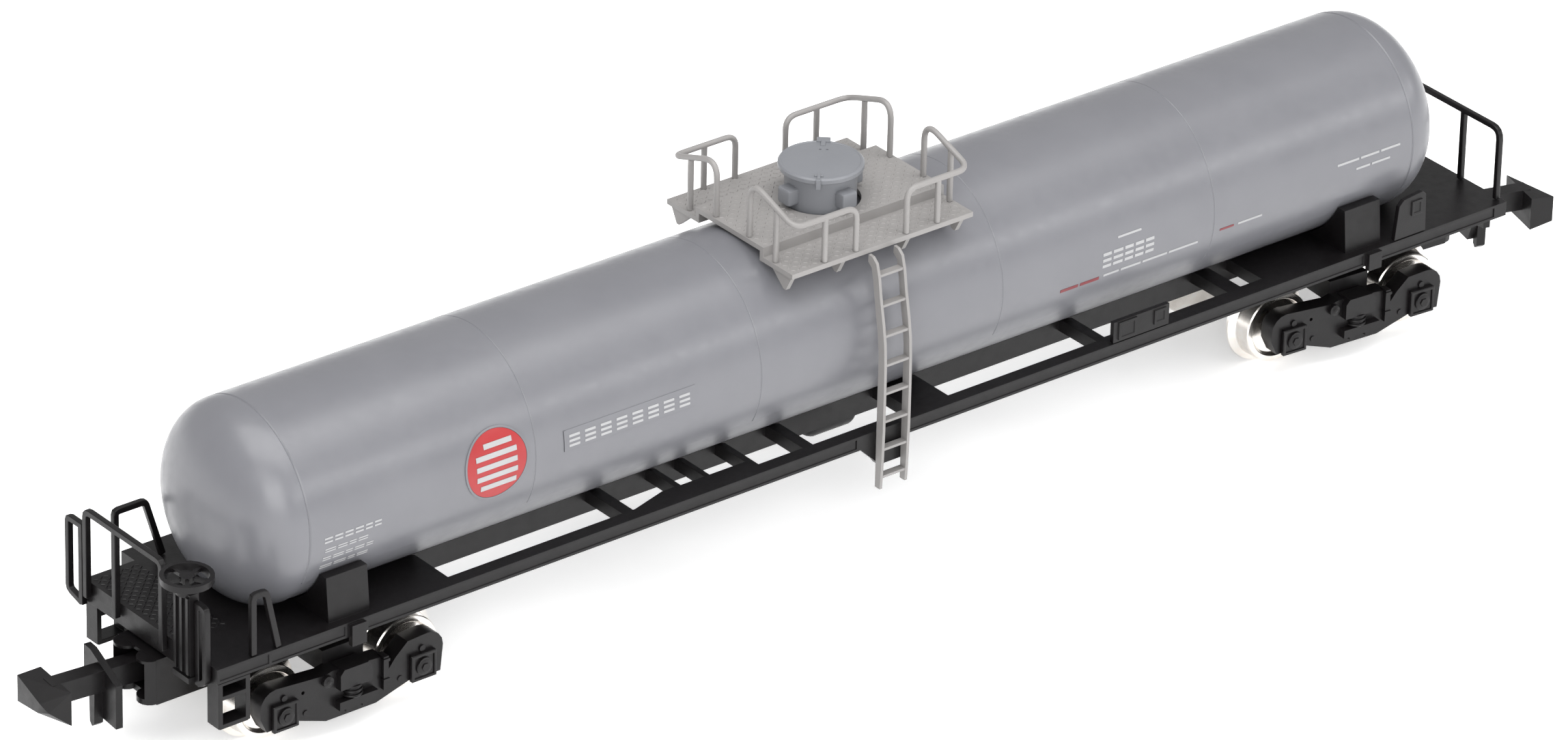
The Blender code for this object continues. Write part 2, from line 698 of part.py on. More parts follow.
def make_running_gear(black, nickel, steel):
    frame = bogie_mesh(black)
    coupler = coupler_mesh(black)
    wheel = wheel_mesh(nickel)
    axle = axle_mesh(steel)
    inner, mouth, _, low, _ = POCKET
    ends = (("front", 180.0, FRONT_COUPLER_DEG), ("rear", REAR_BOGIE_DEG, REAR_COUPLER_DEG))
    for end, turn, coupler_turn in ends:
        x = BOGIES_X[end]
        pin = [(0, 4.0), (1.7, 4.0), (1.7, 4.35), (0.94, 4.5), (0.94, 7.8), (0, 7.8)]
        solid(f"pivot_pin_{end}", [turned(pin, "Z", (x, 0, 0), 20)], steel)
        bogie = pivot(f"bogie_{end}", (x, 0, 0), turn)
        placed(f"bogie_frame_{end}", frame, bogie)
        lid = block((inner + 0.35, mouth - 1.25), (-1.65, 1.65), (low + 0.02, low + 0.4))
        solid(f"pocket_lid_{end}", [lid], black, parent=bogie)

        swing = pivot(f"coupler_swing_{end}", (PIVOTS_X[end], 0, 0), coupler_turn, bogie)
        length = PIVOTS_X[end] - inner - 1.4
        middle = -0.8 - length / 2
        spring = coil((middle, 0.0, 5.45), 0.45, 0.16, length, 3)
        solid(f"coupler_spring_{end}", [spring], steel, parent=swing)
        placed(f"coupler_{end}", coupler, swing)

        for place_name, offset in (("outer", WHEELBASE / 2), ("inner", -WHEELBASE / 2)):
            wheelset = pivot(f"wheelset_{end}_{place_name}", (offset, 0, 0), 0.0, bogie)
            placed(f"axle_{end}_{place_name}", axle, wheelset)
            placed(f"wheel_{end}_{place_name}_a", wheel, wheelset)
            other = placed(f"wheel_{end}_{place_name}_b", wheel, wheelset)
            other.rotation_euler = (0.0, 0.0, math.pi)


def main():
    clear_scene()
    tank_grey = plastic("tank_grey", (0.30, 0.30, 0.33), 0.42)
    walkway_grey = plastic("walkway_grey", (0.38, 0.37, 0.35), 0.5)
    black = plastic("frame_black", (0.018, 0.017, 0.018), 0.45)
    nickel = plastic("nickel", (0.75, 0.72, 0.68), 0.25, 1.0)
    steel = plastic("steel", (0.5, 0.5, 0.5), 0.35, 1.0)
    make_tank(tank_grey, steel)
    make_dome(tank_grey)
    make_walkway(walkway_grey)
    make_handrails(walkway_grey)
    make_ladders(walkway_grey)
    make_underframe(black)
    make_sill_plates(black)
    make_reservoir(black)
    make_brake_stand(black)
    make_front_end(black)
    make_steps(black)
    make_rear_end(black)
    make_running_gear(black, nickel, steel)


main()
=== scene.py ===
import math

import bmesh
import bpy
from mathutils import Matrix, Vector


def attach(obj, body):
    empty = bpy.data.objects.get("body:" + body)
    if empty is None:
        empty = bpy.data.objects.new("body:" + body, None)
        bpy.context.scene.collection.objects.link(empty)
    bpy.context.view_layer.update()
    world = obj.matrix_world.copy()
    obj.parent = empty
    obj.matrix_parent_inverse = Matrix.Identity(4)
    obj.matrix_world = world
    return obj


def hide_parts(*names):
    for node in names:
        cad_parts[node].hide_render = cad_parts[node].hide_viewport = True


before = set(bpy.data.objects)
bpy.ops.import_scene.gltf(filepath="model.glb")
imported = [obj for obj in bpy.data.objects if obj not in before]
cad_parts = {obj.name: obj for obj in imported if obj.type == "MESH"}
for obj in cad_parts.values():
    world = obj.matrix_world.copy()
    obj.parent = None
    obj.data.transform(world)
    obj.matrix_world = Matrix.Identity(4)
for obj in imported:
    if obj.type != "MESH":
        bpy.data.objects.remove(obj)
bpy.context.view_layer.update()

# All shape numbers are in millimetres, with heights DATUM above the frame's. Finished pieces are
# lowered by DATUM and scaled to metres.
MM = 0.001
DATUM = 0.4

TANK_R = 6.9
TANK_WALL = 0.8
TANK_Z = 14.95
SEAM_X = 46.2
DISH = 4.2
KNUCKLE = 0.95
PARTING_Z = 11.5

DECK_UPPER_Z = 22.4
DECK_LOWER_Z = 21.7
DOME_R = 2.4
LID_R = 2.85
LID_LOW = 24.65
LID_THICK = 0.4
LID_TURN_DEG = 48

BOGIES = {"front": (-43.1, 180.0), "rear": (42.0, -4.5)}
HALF_WHEELBASE = 5.4
AXLE_Z = 3.5
SIDEFRAME_Z = 3.38
FLANGE_R = 3.1
TREAD_R = 2.6
WHEEL_BACK = 3.75
WHEEL_FACE = 5.6


# Materials. Patterns are in the object's own coordinates, so their scales are per metre.


class Nodes:
    """A material's node tree, with short calls to add and link nodes."""

    def __init__(self, name):
        self.material = bpy.data.materials.new(name)
        self.material.use_nodes = True
        self.tree = self.material.node_tree
        self.shader = self.tree.nodes["Principled BSDF"]
        self.coordinates = self.tree.nodes.new("ShaderNodeTexCoord")

    def add(self, kind, **inputs):
        node = self.tree.nodes.new(kind)
        for key, value in inputs.items():
            node.inputs[key.replace("_", " ")].default_value = value
        return node

    def link(self, source, target):
        self.tree.links.new(source, target)

    def noise(self, scale, detail=3.0, roughness=0.55, stretch=None):
        node = self.add("ShaderNodeTexNoise", Scale=scale, Detail=detail, Roughness=roughness)
        source = self.coordinates.outputs["Object"]
        if stretch:
            mapping = self.add("ShaderNodeMapping", Scale=stretch)
            self.link(source, mapping.inputs["Vector"])
            source = mapping.outputs["Vector"]
        self.link(source, node.inputs["Vector"])
        return node.outputs["Fac"]

    def ranged(self, source, low, high, start=0.3, end=0.7):
        node = self.add("ShaderNodeMapRange", From_Min=start, From_Max=end, To_Min=low, To_Max=high)
        self.link(source, node.inputs["Value"])
        return node.outputs["Result"]

    def mixed(self, source, first, second, start=0.3, end=0.7):
        ramp = self.add("ShaderNodeValToRGB")
        ramp.color_ramp.elements[0].position = start
        ramp.color_ramp.elements[0].color = (*first, 1.0)
        ramp.color_ramp.elements[1].position = end
        ramp.color_ramp.elements[1].color = (*second, 1.0)
        self.link(source, ramp.inputs["Fac"])
        return ramp.outputs["Color"]

    def bumped(self, sources):
        """Bumps laid one over another: each is (height, strength, distance in metres)."""
        normal = None
        for height, strength, distance in sources:
            bump = self.add("ShaderNodeBump", Strength=strength, Distance=distance)
            self.link(height, bump.inputs["Height"])
            if normal is not None:
                self.link(normal, bump.inputs["Normal"])
            normal = bump.outputs["Normal"]
        self.link(normal, self.shader.inputs["Normal"])


def moulded(
    name, color, lighter, rough, grain=9000.0, grain_depth=1.2e-5, spread=0.05, specular=0.5
):
    """Moulded or painted plastic: a faint cloud of colour, uneven gloss and a fine grain."""
    n = Nodes(name)
    cloud = n.noise(260.0, 4.0)
    fine = n.noise(grain, 2.0)
    patch = n.noise(1300.0, 3.0)
    n.link(n.mixed(cloud, color, lighter), n.shader.inputs["Base Color"])
    n.link(n.ranged(patch, rough - spread, rough + spread), n.shader.inputs["Roughness"])
    n.shader.inputs["Specular IOR Level"].default_value = specular
    n.bumped([(patch, 0.15, grain_depth * 2), (fine, 0.35, grain_depth)])
    return n.material


def plated(name, color, darker, rough, stretch, depth=6e-6):
    """Bright metal with fine turning marks and a little dull tarnish."""
    n = Nodes(name)
    marks = n.noise(6000.0, 2.0, stretch=stretch)
    stain = n.noise(500.0, 4.0)
    n.link(n.mixed(stain, darker, color, 0.25, 0.6), n.shader.inputs["Base Color"])
    n.link(n.ranged(stain, rough + 0.1, rough), n.shader.inputs["Roughness"])
    n.shader.inputs["Metallic"].default_value = 1.0
    n.bumped([(marks, 0.3, depth)])
    return n.material


TANK = moulded(
    "tank_paint", (0.128, 0.129, 0.141), (0.137, 0.138, 0.150), 0.33,
    grain=14000.0, grain_depth=4e-6)
DOME = moulded(
    "dome_paint", (0.148, 0.153, 0.166), (0.161, 0.166, 0.179), 0.40,
    grain=12000.0, grain_depth=7e-6)
DECK = moulded(
    "walkway_plastic", (0.208, 0.200, 0.195), (0.228, 0.219, 0.214), 0.45,
    grain_depth=9e-6)
BLACK = moulded(
    "frame_plastic", (0.0034, 0.0029, 0.0032), (0.0055, 0.0048, 0.0052), 0.38,
    spread=0.07, specular=0.25)
RED = moulded("badge_red", (0.27, 0.011, 0.013), (0.31, 0.015, 0.017), 0.36, grain_depth=3e-6)
MAROON = moulded("marking_red", (0.13, 0.010, 0.015), (0.16, 0.014, 0.02), 0.4, grain_depth=3e-6)
WHITE = moulded("marking_white", (0.29, 0.29, 0.295), (0.33, 0.33, 0.335), 0.4, grain_depth=3e-6)
NICKEL = plated("nickel_plate", (0.86, 0.83, 0.79), (0.66, 0.62, 0.57), 0.16, (1.0, 8.0, 1.0))
STEEL = plated("plain_steel", (0.55, 0.54, 0.52), (0.38, 0.37, 0.35), 0.3, (1.0, 6.0, 1.0))


# Shapes. Each is an object whose mesh is one closed body in millimetres.

# Edges sharper than this are rounded off.
EASED_ABOVE_DEG = 30.0
HALF_TURN = Matrix.Rotation(math.pi, 4, "Z")


def linked(mesh, name="shape"):
    obj = bpy.data.objects.new(name, mesh)
    bpy.context.collection.objects.link(obj)
    return obj


def as_mesh(bm, name="shape"):
    mesh = bpy.data.meshes.new(name)
    bm.to_mesh(mesh)
    bm.free()
    return mesh


def as_object(bm):
    """The body as an object, with its normals facing out."""
    bmesh.ops.recalc_face_normals(bm, faces=bm.faces)
    return linked(as_mesh(bm))


def evaluated(obj):
    """The object's mesh with its modifiers applied; the object is removed."""
    bpy.context.view_layer.update()
    graph = bpy.context.evaluated_depsgraph_get()
    mesh = bpy.data.meshes.new_from_object(obj.evaluated_get(graph), depsgraph=graph)
    bpy.data.objects.remove(obj, do_unlink=True)
    return mesh


def prism(outline, axis, low, high):
    """An outline in the plane across axis (in X, Y, Z order), drawn out from low to high."""
    place = {
        "X": lambda a, b, c: (c, a, b),
        "Y": lambda a, b, c: (a, c, b),
        "Z": lambda a, b, c: (a, b, c),
    }[axis]
    bm = bmesh.new()
    near = [bm.verts.new(place(a, b, low)) for a, b in outline]
    far = [bm.verts.new(place(a, b, high)) for a, b in outline]
    bm.faces.new(near)
    bm.faces.new(far)
    for i in range(len(outline)):
        j = (i + 1) % len(outline)
        bm.faces.new((near[i], near[j], far[j], far[i]))
    return as_object(bm)


def block(x, y, z):
    """A box between two places along each axis."""
    return prism(((x[0], y[0]), (x[1], y[0]), (x[1], y[1]), (x[0], y[1])), "Z", z[0], z[1])


def arc(centre, radius, start_deg, end_deg, steps):
    """Points along an arc, both ends included."""
    points = []
    for i in range(steps + 1):
        angle = math.radians(start_deg + (end_deg - start_deg) * i / steps)
        points.append((centre[0] + radius * math.cos(angle), centre[1] + radius * math.sin(angle)))
    return points


def disc(centre, axis, radius, low, high, sides):
    return prism(arc(centre, radius, 0, 360, sides)[:-1], axis, low, high)


def turned(profile, axis, centre, sides, ring=False):
    """A profile of (radius, height) points turned about an axis through centre.

    Without ring the profile starts and ends on the axis; with ring it closes on itself.
    """
    place = {
        "X": lambda a, b, c: (centre[0] + c, centre[1] + a, centre[2] + b),
        "Y": lambda a, b, c: (centre[0] + a, centre[1] + c, centre[2] + b),
        "Z": lambda a, b, c: (centre[0] + a, centre[1] + b, centre[2] + c),
    }[axis]
    bm = bmesh.new()
    rings = []
    for radius, height in profile:
        if radius == 0.0:
            rings.append([bm.verts.new(place(0.0, 0.0, height))])
            continue
        circle = arc((0, 0), radius, 0, 360, sides)[:-1]
        rings.append([bm.verts.new(place(x, y, height)) for x, y in circle])
    pairs = list(zip(rings, rings[1:]))
    if ring:
        pairs.append((rings[-1], rings[0]))
    for lower, upper in pairs:
        for i in range(sides):
            j = (i + 1) % sides
            below = lower[i % len(lower)], lower[j % len(lower)]
            above = upper[j % len(upper)], upper[i % len(upper)]
            bm.faces.new(list(dict.fromkeys(below + above)))
    return as_object(bm)


def rounded(points, radius, steps):
    """The path with each inner corner replaced by a curve that starts and ends radius from it.

    Where a leg is short, the curve takes less than half of it.
    """
    points = [Vector(point) for point in points]
    path = [points[0]]
    for before, corner, after in zip(points, points[1:], points[2:]):
        back, on = before - corner, after - corner
        start = corner + back.normalized() * min(radius, back.length * 0.45)
        end = corner + on.normalized() * min(radius, on.length * 0.45)
        for i in range(steps + 1):
            t = i / steps
            path.append(start * (1 - t) ** 2 + corner * 2 * t * (1 - t) + end * t ** 2)
    path.append(points[-1])
    return path


def bar(path, across, size, corner):
    """A bar along a path with a square section and rounded corners, one side along across."""
    path = [Vector(point) for point in path]
    steps = [(b - a).normalized() for a, b in zip(path, path[1:])]
    across = Vector(across)
    inset = size / 2 - corner
    section = []
    for cu, cv, start in ((1, 1, 0), (-1, 1, 90), (-1, -1, 180), (1, -1, 270)):
        section += arc((cu * inset, cv * inset), corner, start, start + 90, 3)
    bm = bmesh.new()
    rings = []
    for i, point in enumerate(path):
        along = steps[max(i - 1, 0)]
        mitre = (along + steps[min(i, len(steps) - 1)]).normalized()
        side = (across - along * across.dot(along)).normalized()
        rise = along.cross(side)
        ring = []
        for u, v in section:
            offset = side * u + rise * v
            offset -= along * (offset.dot(mitre) / along.dot(mitre))
            ring.append(bm.verts.new(point + offset))
        across = side
        rings.append(ring)
    bm.faces.new(rings[0])
    bm.faces.new(rings[-1])
    count = len(section)
    for lower, upper in zip(rings, rings[1:]):
        for i in range(count):
            j = (i + 1) % count
            bm.faces.new((lower[i], lower[j], upper[j], upper[i]))
    return as_object(bm)


def eased(obj, width, segments=2):
    """The same body with its sharp edges rounded off."""
    modifier = obj.modifiers.new("ease", "BEVEL")
    modifier.width = width
    modifier.segments = segments
    modifier.limit_method = "ANGLE"
    modifier.angle_limit = math.radians(EASED_ABOVE_DEG)
    modifier.use_clamp_overlap = True
    return linked(evaluated(obj))


def united(shapes, cuts=()):
    """The union of shapes, less the cuts."""
    body = shapes[0]
    for operation, others in (("UNION", shapes[1:]), ("DIFFERENCE", cuts)):
        for other in others:
            modifier = body.modifiers.new(operation.lower(), "BOOLEAN")
            modifier.operation = operation
            modifier.solver = "EXACT"
            modifier.object = other
    mesh = evaluated(body)
    for shape in (*shapes[1:], *cuts):
        bpy.data.objects.remove(shape, do_unlink=True)
    return linked(mesh)


def joined(shapes):
    """The shapes as one object, with nothing merged."""
    bm = bmesh.new()
    for shape in shapes:
        bm.from_mesh(shape.data)
        bpy.data.objects.remove(shape, do_unlink=True)
    return linked(as_mesh(bm))


def moved(obj, matrix):
    """The same body, moved by a matrix."""
    obj.data.transform(matrix)
    return obj


def from_cad(node):
    """A CAD node's body in millimetres, with its flat faces whole again."""
    bm = bmesh.new()
    bm.from_mesh(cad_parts[node].data)
    bmesh.ops.scale(bm, vec=(1 / MM, 1 / MM, 1 / MM), verts=bm.verts)
    bmesh.ops.translate(bm, vec=(0.0, 0.0, DATUM), verts=bm.verts)
    bmesh.ops.remove_doubles(bm, verts=bm.verts, dist=1e-3)
    bmesh.ops.dissolve_limit(bm, angle_limit=math.radians(0.5), verts=bm.verts, edges=bm.edges)
    return as_object(bm)


def piece(name, obj, material, body, nodes=(), smooth=38.0):
    """Scales a finished shape to metres and makes it a piece that rides on a body.

    Edges sharper than smooth, in degrees, stay sharp. The piece stands for the nodes.
    """
    modifier = obj.modifiers.new("normals", "WEIGHTED_NORMAL")
    modifier.keep_sharp = True
    obj.data.shade_smooth()
    obj.data.set_sharp_from_angle(angle=math.radians(smooth))
    mesh = evaluated(obj)
    mesh.transform(Matrix.Scale(MM, 4) @ Matrix.Translation((0.0, 0.0, -DATUM)))
    mesh.name = name
    mesh.materials.clear()
    mesh.materials.append(material)
    made = linked(mesh, name)
    if nodes:
        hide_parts(*nodes)
    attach(made, body)


def refined(node, material, body, width, cuts=(), extra=()):
    """A CAD node's body with eased edges, more cuts and more shapes, in place of the node."""
    shape = eased(from_cad(node), width)
    if cuts or extra:
        shape = united([shape, *extra], cuts)
    piece(f"{node}_detail", shape, material, body, (node,))


# Tank.

# Each groove's place, half its width, and its depth.
GROOVES = ((46.1, 0.09, 0.06), (28.4, 0.05, 0.035), (10.1, 0.05, 0.035))
# Half the length of the opening under the shell, which the trough fills.
OPENING_X = SEAM_X - 0.05
TROUGH_GAP = 0.03


def dish_points(radius, dish, steps=24):
    """A dished end's outline, a little squarer at its knuckle than an ellipse."""
    points = []
    for i in range(steps + 1):
        angle = math.radians(90.0 * i / steps)
        squared = math.sin(angle) ** KNUCKLE, math.cos(angle) ** KNUCKLE
        points.append((radius * squared[0], SEAM_X + dish * squared[1]))
    points[0] = (0.0, SEAM_X + dish)
    return points


def tank_outline():
    """The tank's radius from tip to tip, with a fine groove at each welded seam."""
    half = dish_points(TANK_R, DISH)
    for x, wide, deep in GROOVES:
        half += [(TANK_R, x + wide), (TANK_R - deep, x), (TANK_R, x - wide)]
    return half + [(r, -x) for r, x in reversed(half)]


def make_tank():
    centre = (0.0, 0.0, TANK_Z)
    outer = turned(tank_outline(), "X", centre, 128)
    inside = dish_points(TANK_R - TANK_WALL, DISH - TANK_WALL, 8)
    inner = turned(inside + [(r, -x) for r, x in reversed(inside)], "X", centre, 64)
    mouth = block((-OPENING_X, OPENING_X), (-8, 8), (7, PARTING_Z))
    shell = united([outer], [inner, mouth])
    piece("tank_shell_detail", shell, TANK, "chassis", ("tank_shell",), 25)

    start = 180.0 + math.degrees(math.asin((TANK_Z - PARTING_Z) / TANK_R))
    rim = arc((0, TANK_Z), TANK_R - TROUGH_GAP, start + 0.5, 540 - start - 0.5, 40)
    inner_rim = arc((0, TANK_Z), TANK_R - TANK_WALL, 540 - start - 4, start + 4, 24)
    top = PARTING_Z - TROUGH_GAP
    trough = [(-5.9, top), *rim, (5.9, top), *inner_rim]
    body = prism([(y, min(z, top)) for y, z in trough], "X", -OPENING_X, OPENING_X)
    piece("tank_belly_detail", body, TANK, "chassis", ("tank_belly",), 25)


def strip(x0, x1, start_deg, end_deg, low, high):
    """A curved plate on the tank's left side, from low to high above its surface."""
    steps = max(1, round(abs(end_deg - start_deg) / 3))
    centre = (0, TANK_Z)
    outline = arc(centre, TANK_R + high, 180 - start_deg, 180 - end_deg, steps)
    outline += arc(centre, TANK_R + low, 180 - end_deg, 180 - start_deg, steps)
    return prism(outline, "X", x0, x1)


def bent(obj, angle_deg):
    """A body drawn flat (X along, Z up, Y outwards), bent round the tank's left side."""
    for vertex in obj.data.vertices:
        x, y, z = vertex.co
        angle = math.radians(angle_deg) + z / TANK_R
        radius = TANK_R + y
        vertex.co = (x, -radius * math.cos(angle), TANK_Z + radius * math.sin(angle))
    return obj


def on_both_sides(shapes):
    """Shapes on the left side, with a copy of each turned half round onto the right side."""
    copies = [moved(linked(shape.data.copy()), HALF_TURN) for shape in shapes]
    return joined([*shapes, *copies])


# What lies on the tank starts this far inside it.
SUNK = -0.03

BADGE_X = -31.5
BADGE_DEG = 6.5
BADGE_FIELD_R = 2.34
BADGE_RIM_R = 2.36
# Each bar's ends along X and its low and high edges, from the badge's middle.
BADGE_BARS = (
    (-0.9, 1.3, 1.2, 1.55),
    (-1.6, 1.6, 0.5, 0.85),
    (-1.6, 1.6, -0.2, 0.15),
    (-1.6, 1.6, -0.9, -0.55),
    (-1.3, 1.5, -1.6, -1.25),
)


def badge_part(name, profile, material, ring=False):
    shape = bent(turned(profile, "Y", (BADGE_X, 0.0, 0.0), 64, ring), BADGE_DEG)
    piece(name, on_both_sides([shape]), material, "chassis")


def make_badge():
    """A plain red disc in a raised rim, with plain pale bars across it."""
    rim = [(BADGE_RIM_R, SUNK)]
    rim += [(BADGE_RIM_R + 0.07 * i, 0.07) for i in range(3)]
    rim += [(BADGE_RIM_R + 0.14, SUNK)]
    badge_part("badge_rim", rim, TANK, ring=True)
    face = [(BADGE_FIELD_R * i / 8, 0.05) for i in range(8, 0, -1)] + [(0.0, 0.05)]
    badge_part("badge_field", [(0.0, SUNK), (BADGE_FIELD_R, SUNK)] + face, RED)
    bars = []
    for x0, x1, z0, z1 in BADGE_BARS:
        low = BADGE_DEG + math.degrees(z0 / TANK_R)
        high = BADGE_DEG + math.degrees(z1 / TANK_R)
        bars.append(strip(BADGE_X + x0, BADGE_X + x1, low, high, 0.0, 0.085))
    piece("badge_bars", on_both_sides(bars), WHITE, "chassis")


# The plate with the long row of bars: its ends along X, its low and high edges in degrees above
# the tank's middle, the width of its raised border, and its rows of bars.
NAME_X = (-26.15, -15.5)
NAME_DEG = (-0.6, 11.4)
NAME_BORDER = 0.15
NAME_ROWS_DEG = ((1.2, 2.6), (4.0, 5.4), (6.8, 8.2))
NAME_COLUMNS = 8

# Rows of small bars: where they start and end along X, their top and bottom in degrees above the
# tank's middle, how many rows, where they break, and how much of its pitch each row fills.
WHITE_LINES = (
    (-45.0, -40.4, -1.5, -6.0, 2, (-44.2, -43.4, -42.6, -41.8, -41.1), 0.45),
    (-44.9, -41.4, -8.5, -11.5, 2, (-43.9, -43.0, -42.3), 0.45),
    (-45.0, -40.9, -14.0, -17.0, 2, (-44.2, -43.2, -42.5, -41.6), 0.45),
    (-45.1, -41.2, -19.5, -22.5, 2, (-44.0, -42.9, -42.2), 0.45),
    (18.7, 23.3, 2.6, -8.5, 3, (19.6, 20.6, 21.5, 22.4), 0.5),
    (20.0, 22.2, 10.0, 7.6, 1, (), 0.5),
    (18.9, 27.3, -11.2, -13.0, 1, (20.4, 22.3, 24.6), 0.8),
    (30.6, 32.9, -8.4, -10.0, 1, (), 0.8),
    (39.3, 45.1, 5.8, 4.2, 1, (41.4, 43.2), 0.8),
    (41.0, 44.2, -0.2, -1.8, 1, (42.4,), 0.8),
)
RED_LINES = (
    (15.2, 18.7, -11.6, -14.0, 1, (16.9,), 0.8),
    (29.0, 30.4, -8.4, -10.0, 1, (), 0.8),
)
LINE_HEIGHT = 0.022
LINE_BREAK = 0.18


def written_lines(x0, x1, top_deg, bottom_deg, rows, gaps, fill):
    """Plain thin bars in rows, where small lettering would be, with a break at each gap."""
    bars = []
    pitch = (top_deg - bottom_deg) / rows
    stops = [x0, *gaps, x1]
    for row in range(rows):
        high = top_deg - pitch * row
        for start, end in zip(stops, stops[1:]):
            low = high - pitch * fill
            bars.append(strip(start, end - LINE_BREAK, low, high, SUNK, LINE_HEIGHT))
    return bars


def make_markings():
    plate = [
        strip(*NAME_X, *NAME_DEG, SUNK, 0.03),
        strip(NAME_X[0], NAME_X[0] + NAME_BORDER, *NAME_DEG, SUNK, 0.06),
    ]
    piece("name_strip", on_both_sides(plate), TANK, "chassis")
    white = []
    for i in range(NAME_COLUMNS):
        x = -25.75 + 1.27 * i
        for low, high in NAME_ROWS_DEG:
            white.append(strip(x, x + 0.85, low, high, 0.0, 0.05))
    for line in WHITE_LINES:
        white += written_lines(*line)
    piece("markings_white", on_both_sides(white), WHITE, "chassis")
    red = []
    for line in RED_LINES:
        red += written_lines(*line)
    piece("markings_red", on_both_sides(red), MAROON, "chassis")


make_tank()
make_badge()
make_markings()


# Walkway treads, dome and lid.

# Half a tread bar's length, half its width and its height above the deck, at its foot and its top.
TREAD_FOOT = (0.17, 0.065, -0.02)
TREAD_TOP = (0.12, 0.03, 0.05)
TREAD_SLANT_DEG = 38
TREAD_PITCH = 0.44
TREADS_X = (-7.1, 7.1)
UPPER_TREADS_Y = (-3.2, 3.2)
LOWER_TREADS_Y = ((-6.15, -3.95), (3.95, 6.15))
TREADS_CLEAR_R = 3.0


def dash(x, y, z, slant):
    """A small raised tread bar with sloping ends, turned by slant."""
    along = Vector((math.cos(slant), math.sin(slant), 0.0))
    across = Vector((-along.y, along.x, 0.0))
    centre = Vector((x, y, z))
    bm = bmesh.new()
    rings = []
    for length, width, height in (TREAD_FOOT, TREAD_TOP):
        ring = []
        for u, v in ((-1, -1), (1, -1), (1, 1), (-1, 1)):
            corner = centre + along * (u * length) + across * (v * width) + Vector((0, 0, height))
            ring.append(bm.verts.new(corner))
        rings.append(ring)
    bm.faces.new(rings[0])
    bm.faces.new(rings[1])
    for i in range(4):
        j = (i + 1) % 4
        bm.faces.new((rings[0][i], rings[0][j], rings[1][j], rings[1][i]))
    return as_object(bm)


def tread_rows(x_range, y_range, z, pitch, keep):
    """Rows of tread bars, slanting alternately, wherever keep(x, y) says so."""
    dashes = []
    columns = int((x_range[1] - x_range[0]) / pitch)
    rows = int((y_range[1] - y_range[0]) / pitch)
    for i in range(columns + 1):
        for j in range(rows + 1):
            x = x_range[0] + (x_range[1] - x_range[0]) * i / columns
            y = y_range[0] + (y_range[1] - y_range[0]) * j / rows
            if keep(x, y):
                slant = TREAD_SLANT_DEG if (i + j) % 2 else -TREAD_SLANT_DEG
                dashes.append(dash(x, y, z, math.radians(slant)))
    return dashes


def make_treads():
    def clear_of_dome(x, y):
        return math.hypot(x, y) > TREADS_CLEAR_R

    treads = tread_rows(TREADS_X, UPPER_TREADS_Y, DECK_UPPER_Z, TREAD_PITCH, clear_of_dome)
    for y_range in LOWER_TREADS_Y:
        treads += tread_rows(TREADS_X, y_range, DECK_LOWER_Z, TREAD_PITCH, clear_of_dome)
    piece("walkway_tread", joined(treads), DECK, "chassis")


def make_dome():
    """The dome's barrel with two stubs through it, one along each axis, cut to sit on the tank."""
    low = 20.6
    top = LID_LOW - 0.05
    profile = [(0, low), (DOME_R, low), (DOME_R, top - 0.12), (DOME_R - 0.1, top), (0, top)]
    body = turned(profile, "Z", (0, 0, 0), 72)
    stub_z = (DECK_UPPER_Z + 0.3, DECK_UPPER_Z + 1.5)
    long, wide = (-3.15, 3.15), (-0.62, 0.62)
    stubs = [eased(block(long, wide, stub_z), 0.2), eased(block(wide, long, stub_z), 0.2)]
    barrel = disc((0, TANK_Z), "X", TANK_R + 0.04, -5, 5, 128)
    dome = united([body, *stubs], [barrel])
    piece("valve_dome_detail", dome, DOME, "chassis", ("valve_dome",), 30)


def make_lid():
    """The lid with a raised rim and a low crown, lugs on both sides and two small holes."""
    low = LID_LOW
    high = LID_LOW + LID_THICK
    profile = [
        (0, low),
        (LID_R - 0.05, low),
        (LID_R, low + 0.05),
        (LID_R, high - 0.1),
        (LID_R - 0.1, high + 0.01),
        (LID_R - 0.22, high + 0.03),
        (LID_R - 0.26, high),
        (1.5, high + 0.1),
        (0, high + 0.16),
    ]
    lid = turned(profile, "Z", (0, 0, 0), 72)
    wide_lugs = [
        block((2.5, 3.1), (-0.45, 0.45), (low + 0.08, high + 0.12)),
        block((1.9, 2.7), (-0.16, 0.16), (high - 0.1, high + 0.14)),
    ]
    narrow_lugs = [
        block((-3.1, -2.6), (-0.16, 0.16), (low - 0.25, high + 0.08)),
        block((-2.9, -2.2), (-0.11, 0.11), (high - 0.1, high + 0.16)),
        block((-2.5, -2.38), (-0.3, 0.3), (high - 0.1, high + 0.13)),
    ]
    turn = Matrix.Rotation(math.radians(LID_TURN_DEG), 4, "Z")
    fittings = [moved(eased(shape, 0.05), turn) for shape in wide_lugs + narrow_lugs]
    holes = []
    for place in ((0.75, 1.05), (1.1, 0.75)):
        holes.append(disc(place, "Z", 0.09, high + 0.05, high + 0.3, 12))
    whole = united([lid, *fittings], holes)
    piece("valve_dome_lid_detail", whole, DOME, "chassis", ("valve_dome_lid",), 30)


make_treads()
make_dome()
make_lid()


# The corner rails' thickness, and their lines along X and Y.
RAIL = 0.385
RAIL_CORNER = 0.154
RAIL_X = 7.25
RAIL_Y = 6.35
RAIL_Z = 24.9
PEAK_Z = 26.5
# Posts stop just above the deck's face.
RAIL_FOOT = 0.03
# Each middle post's place along X and Y, and its top.
MIDDLE_POSTS = ((RAIL_X, 4.5, 25.4), (4.7, RAIL_Y, RAIL_Z))


